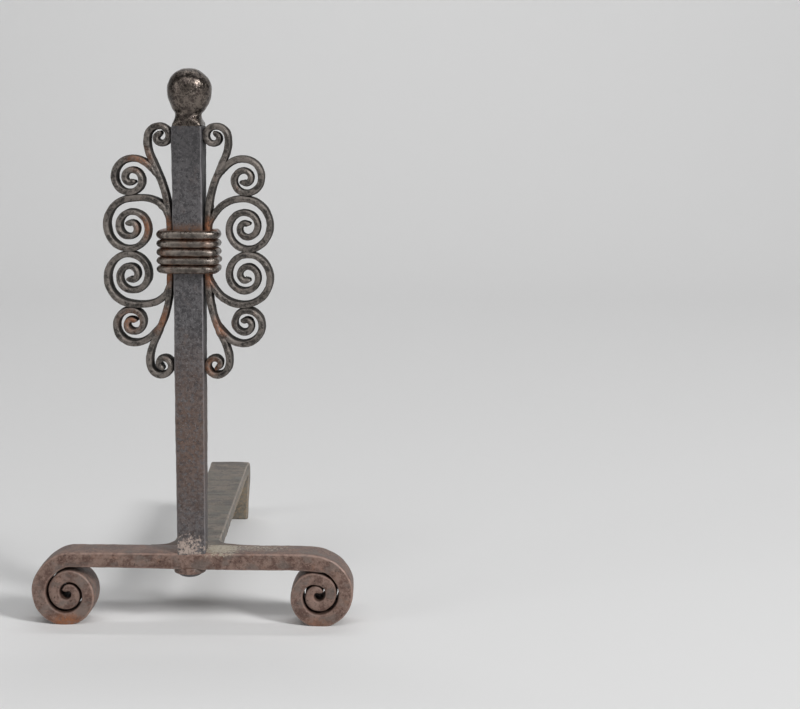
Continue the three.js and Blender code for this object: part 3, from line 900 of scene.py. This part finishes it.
def make_finial():
    shape = finial_shape()
    foot, body = shape[:2], shape[2:]
    stations = np.linspace(body[0, 0], body[-1, 0], FINIAL_STATIONS)
    between = [np.interp(stations, body[:, 0], body[:, c]) for c in (1, 2, 3)]
    rings = []
    for h, half, power, lean in np.concatenate([foot, np.stack([stations, *between], 1)]):
        middle = POST_X + POST_SHIFT + BALL_LEAN * lean
        rings.append(superellipse(half, power, middle, POST_Y, POST_TOP + h))
    points, faces = skin(rings)
    piece = new_piece("finial_forged", points, face_outward(points, faces), ball_iron,
                      "ball_finial", np.zeros(len(points)))
    above_seat = np.clip((coordinates(piece)[:, 2] - POST_TOP) / (3 * MM), 0, 1)
    hammer(piece, FINIAL_DENTS, 6, above_seat)
    hammer(piece, FINIAL_PITS, 7, above_seat)
    keep_in(piece)


# ---------- log rest ----------

def rest_ring(y, z, bent, width, left=0.0, right=0.0, upset=0.0):
    """The outline of the log rest at one station. bent is how far it has turned down, left
    and right are what the weld's fillets add, and upset is how much thicker it is."""
    length = REST_REAR - BAR_REAR
    middle = POST_X + REST_OFFSET - REST_SWING * max(0, y - BAR_REAR) / length
    low, high = middle - width / 2 - left, middle + width / 2 + right
    ring, near, _ = bar_ring((REST_THICKNESS + upset) / 2, (high - low) / 2, REST_EDGE,
                             REST_CROWN)
    centre = (low + high) / 2
    points = []
    for n, w in ring:
        n += upset / 2
        points.append((centre + w, y + n * math.sin(bent), z + n * math.cos(bent)))
    return points, near


def make_rest():
    half = REST_THICKNESS / 2
    level = BAR_TOP - half
    rear = REST_REAR - half
    radius = REST_BEND + half
    bend_start = rear - radius
    rings, near = [], []

    def add(*args, **more):
        ring, ring_near = rest_ring(*args, **more)
        rings.append(ring)
        near.extend(ring_near)

    add(BAR_REAR, level, 0, REST_WIDTH, WELD_LEFT, WELD_RIGHT)
    for a in np.linspace(0, math.pi / 2, 18):
        fade = 1 - math.sin(a)
        add(BAR_REAR + WELD_LIP + WELD_LENGTH * (1 - math.cos(a)), level, 0, REST_WIDTH,
            WELD_LEFT * fade, WELD_RIGHT * fade)
    start = BAR_REAR + WELD_LIP + WELD_LENGTH
    for y in np.linspace(start, bend_start, REST_STATIONS)[1:-1]:
        spread = np.clip((y - bend_start + BEND_SPREAD) / BEND_SPREAD, 0, 1) ** 2
        add(y, level, 0, REST_WIDTH + (BEND_WIDTH - REST_WIDTH) * spread)
    for a in np.linspace(0, math.pi / 2, 16):
        add(bend_start + radius * math.sin(a), level - radius * (1 - math.cos(a)), a,
            BEND_WIDTH, upset=BEND_UPSET * math.sin(2 * a) ** 2)
    for z in np.linspace(level - radius, 0, LEG_STATIONS)[1:]:
        share = 1 - z / (level - radius)
        add(rear, z, math.pi / 2, BEND_WIDTH + (LEG_WIDTH - BEND_WIDTH) * share)
    points, faces = skin(rings)
    near += [0, 0]
    piece = new_piece("billet_forged", points, face_outward(points, faces), rest_iron,
                      "billet_bar", near)
    co = coordinates(piece)
    free = np.clip((co[:, 1] - BAR_REAR) / (6 * MM), 0, 1) * np.clip(co[:, 2] / (3 * MM), 0, 1)
    hammer(piece, REST_DENTS, 8, free)
    hammer(piece, REST_PITS, 9, free, REST_PITS_STRETCH)
    keep_in(piece)
    # rust on the weld's two fillets, ash on the rear leg's front face that also paints light
    # where the bar shades it, and ash along the bar's right side
    paint(piece, "rust", [
        ((POST_X - 32 * MM, BAR_REAR, 60 * MM), (24 * MM, 16 * MM, 20 * MM), 1.0),
        ((POST_X + 40 * MM, BAR_REAR, 60 * MM), (20 * MM, 12 * MM, 20 * MM), 0.8),
    ])
    paint(piece, "ash_and_light", [
        # pale ash colour on the leg's front face, also painted light where the bar shades it
        ((POST_X + 16 * MM, REST_REAR - 10 * MM, 20 * MM), (30 * MM, 16 * MM, 30 * MM), 0.45),
        ((POST_X + 19 * MM, 90 * MM, 50 * MM), (7 * MM, 130 * MM, 9 * MM), 0.9),
    ])


# ---------- collar ----------

def ring_route(x, y, corner):
    """The closed middle line of a ring: [x, y, the angle it faces outward at] rows."""
    turns = []
    for quarter, (sx, sy) in enumerate(((1, 1), (-1, 1), (-1, -1), (1, -1))):
        for i in range(RING_CORNER_STEPS + 1):
            a = math.pi / 2 * (quarter + i / RING_CORNER_STEPS)
            turns.append((sx * x + corner * math.cos(a), sy * y + corner * math.sin(a), a))
    route = []
    for here, after in zip(turns, turns[1:] + turns[:1]):
        gap = math.hypot(after[0] - here[0], after[1] - here[1])
        count = max(1, round(gap / RING_STEP))
        for i in range(count):
            t = i / count
            route.append((here[0] + (after[0] - here[0]) * t,
                          here[1] + (after[1] - here[1]) * t, here[2]))
    return route


def noise_over(co, scale, seed):
    """Noise at each vertex by its place in plan, the same at every height."""
    return np.array([noise.noise(Vector((p[0] * scale, p[1] * scale, seed))) for p in co])


def rust_and_shade_ring(piece, index, middle, tall, straight_x):
    """Rust in the joints between the rings and in patches, and a painted dark reflection band
    along the middle of each ring's height."""
    co = coordinates(piece)
    joint = np.clip(np.abs(co[:, 2] - middle.z) / tall - 0.72, 0, 1) / 0.28
    wave = noise_over(co, 90, index * 3)
    mark(piece, "rust", np.clip(joint * (0.9 + wave) + 0.7 * np.clip(wave - 0.1, 0, 1), 0, 1))
    # painted shade: a dark band along the middle of each ring, for its dark reflection, weaker
    # round the ring's ends
    from_line = (co[:, 2] - middle.z + 0.05 * tall) / (0.5 * tall)
    patchy = noise_over(co, 160, index * 5)
    ends = smooth(np.abs(co[:, 0] - middle.x), straight_x - 3 * MM, straight_x + 4 * MM)
    mark(piece, "painted_shade", np.exp(-from_line ** 4) * np.clip(1.1 + 1.2 * patchy, 0.5, 1)
         * (1 - 0.8 * ends))


def make_ring(index):
    name = f"collar_ring_{index}"
    low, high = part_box(name)
    tall = (high.z - low.z) / 2
    middle = (low + high) / 2
    if index == 1:
        tall += FIRST_RING_TALLER
        middle += Vector((0, 0, FIRST_RING_HIGHER))
    deep = (RING_HIGH.y - RING_LOW.y - POST_SIDE - 2 * RING_GAP) / 4
    corner = RING_CORNER + deep
    x = (high.x - low.x) / 2 - deep - corner
    y = (high.y - low.y) / 2 - deep - corner
    rings = []
    for cx, cy, a in ring_route(x, y, corner):
        ring = []
        for b in np.linspace(0, 2 * math.pi, RING_SIDES, endpoint=False):
            out = deep * math.cos(b)
            ring.append((middle.x + cx + math.cos(a) * out, middle.y + cy + math.sin(a) * out,
                         middle.z + tall * math.sin(b)))
        rings.append(ring)
    points, faces = skin(rings, closed=True)
    piece = new_piece(f"ring_{index}_forged", points, face_outward(points, faces), collar_iron,
                      name, np.zeros(len(points)))
    rough = 0.5 + 1.6 * np.clip((coordinates(piece)[:, 0] - POST_X - 12 * MM) / (10 * MM), 0, 1)
    rust_and_shade_ring(piece, index, middle, tall, x)
    hammer(piece, RING_DENTS, 10 + index, rough)
    hammer(piece, RING_PITS, 30 + index, rough * 0.6)
    keep_in(piece)


# ---------- stems and scrolls ----------

QUARTERS = {"upper_right": (True, True), "lower_right": (True, False),
            "upper_left": (False, True), "lower_left": (False, False)}
WELDS = ((5, 36), (12, 66))  # the crotches, mm out from the stem and from the collar's middle
WELD_REACH = 5
# mm across from the post's middle and up from the collar's, and the radius
RUST_SPOTS = (
    (-49, -58, 9), (-20, -58, 11), (-33, 20, 10), (18, -96, 8), (27, -62, 9), (-40, 77, 10),
)


def near_welds(piece):
    """How near each vertex lies to the crotch of a weld, from 0 to 1."""
    co = coordinates(piece)
    out = (np.abs(co[:, 0] - POST_X) - STEM_LINE) / MM
    up = np.abs(co[:, 2] - COLLAR_Z) / MM
    near = [np.exp(-((out - x) ** 2 + (up - z) ** 2) / WELD_REACH ** 2) for x, z in WELDS]
    return np.maximum(*near)


def scroll_rust():
    """Rust where the stems leave the collar, and in a few spots further out."""
    spots = []
    for side in (-1, 1):
        for level in (-1, 1):
            spots.append(((POST_X + side * 18 * MM, POST_Y, COLLAR_Z + level * 20 * MM),
                          (7 * MM, 24 * MM, 9 * MM), 1.0))
    for x, z, radius in RUST_SPOTS:
        spots.append(((POST_X + x * MM, POST_Y, COLLAR_Z + z * MM),
                      (radius * MM, 24 * MM, radius * MM), 0.7))
    return spots


def make_flat_bar(name, node, line, dents, seeds):
    """A stem or an arm. seeds are those of its dents, its pits and the lumps at its welds."""
    points, faces, near, broad = swept_bar(resample(line, BAR_STEP), BAR_EDGE, POST_Y, BAR_CROWN)
    piece = new_piece(name, points, faces, scroll_iron, node, near)
    # painted shade on the broad sides, which face each other in the rolls
    mark(piece, "painted_shade", broad)
    hammer(piece, dents, seeds[0])
    hammer(piece, BAR_PITS, seeds[1])
    hammer(piece, WELD_LUMPS, seeds[2], near_welds(piece))
    paint(piece, "rust", scroll_rust())


def make_stem(side):
    right = side == "right"
    line = turned_line(stem_line(), right, True)
    make_flat_bar(f"stem_{side}_forged", f"stem_{side}", line, STEM_DENTS,
                  (40 + right, 42 + right, 44 + right))


def make_scroll(size, form, quarter):
    right, upper = QUARTERS[quarter]
    arm = ARMS[size, "right" if right else "left"]
    line = turned_line(scroll_line(form, arm), right, upper)
    node = f"scroll_{size}_{quarter}"
    seed = 50 + 4 * (size == "mid") + list(QUARTERS).index(quarter)
    make_flat_bar(f"{node}_forged", node, line, SCROLL_DENTS, (seed, seed + 20, seed + 40))


# ---------- stage ----------

FLOOR_NEAR = -6.0
FLOOR_FAR = 2.6
FLOOR_SIDE = 14.0
BACKDROP_TURN = 2.4  # the radius on which the floor turns up
BACKDROP_TOP = 7.0
PAPER = (0.80, 0.80, 0.80, 1)
MIDDLE = (0, -0.05, 0.2)
LIGHTS = (  # name, place, what it faces, size, watts
    ("key", (3.65, -3.06, 2.9), MIDDLE, (1.05, 1.5), 195),
    ("top", (0.2, -1.9, 2.6), MIDDLE, (3.0, 0.6), 22),
    ("fill", (-3.2, -2.2, 1.3), MIDDLE, (1.6, 2.2), 25),
    ("wall", (0, 1.8, 4.5), (0, 4.8, 0.8), (5.0, 1.0), 78),
)
DAYLIGHT = 0.12


def make_stage():
    """A pale floor that curves up into a backdrop."""
    rows = [(y, 0.0) for y in np.linspace(FLOOR_NEAR, FLOOR_FAR, 20)]
    for a in np.linspace(0, math.pi / 2, 24)[1:]:
        rows.append((FLOOR_FAR + BACKDROP_TURN * math.sin(a), BACKDROP_TURN * (1 - math.cos(a))))
    rows.append((FLOOR_FAR + BACKDROP_TURN, BACKDROP_TOP))
    points = [(x, y, z) for y, z in rows for x in (-FLOOR_SIDE, FLOOR_SIDE)]
    faces = [(2 * i, 2 * i + 1, 2 * i + 3, 2 * i + 2) for i in range(len(rows) - 1)]
    mesh = bpy.data.meshes.new("backdrop")
    mesh.from_pydata(points, [], faces)
    mesh.shade_smooth()
    floor = bpy.data.objects.new("backdrop", mesh)
    bpy.context.scene.collection.objects.link(floor)
    material = bpy.data.materials.new("paper")
    material.use_nodes = True
    shader = material.node_tree.nodes["Principled BSDF"]
    shader.inputs["Base Color"].default_value = PAPER
    shader.inputs["Roughness"].default_value = 0.9
    shader.inputs["Specular IOR Level"].default_value = 0.1
    mesh.materials.append(material)


def area_light(name, place, target, size, power):
    data = bpy.data.lights.new(name, "AREA")
    data.shape = "RECTANGLE"
    data.size, data.size_y = size
    data.energy = power
    light = bpy.data.objects.new(name, data)
    bpy.context.scene.collection.objects.link(light)
    light.location = place
    aim = Vector(target) - Vector(place)
    light.rotation_euler = aim.to_track_quat("-Z", "Y").to_euler()


def make_lights():
    for light in LIGHTS:
        area_light(*light)
    world = bpy.data.worlds.new("world")
    bpy.context.scene.world = world
    world.use_nodes = True
    background = world.node_tree.nodes["Background"]
    background.inputs["Color"].default_value = (1, 1, 1, 1)
    background.inputs["Strength"].default_value = DAYLIGHT
    bpy.context.scene.view_settings.view_transform = "Standard"


# ---------- the andiron ----------

make_camera()
make_stage()
make_lights()

make_crossbar()
make_post()
make_washer()
make_finial()
make_rest()
for number in range(1, RING_COUNT + 1):
    make_ring(number)
for side in ("right", "left"):
    make_stem(side)
for size, form in (("large", LARGE), ("mid", MID)):
    for quarter in QUARTERS:
        make_scroll(size, form, quarter)
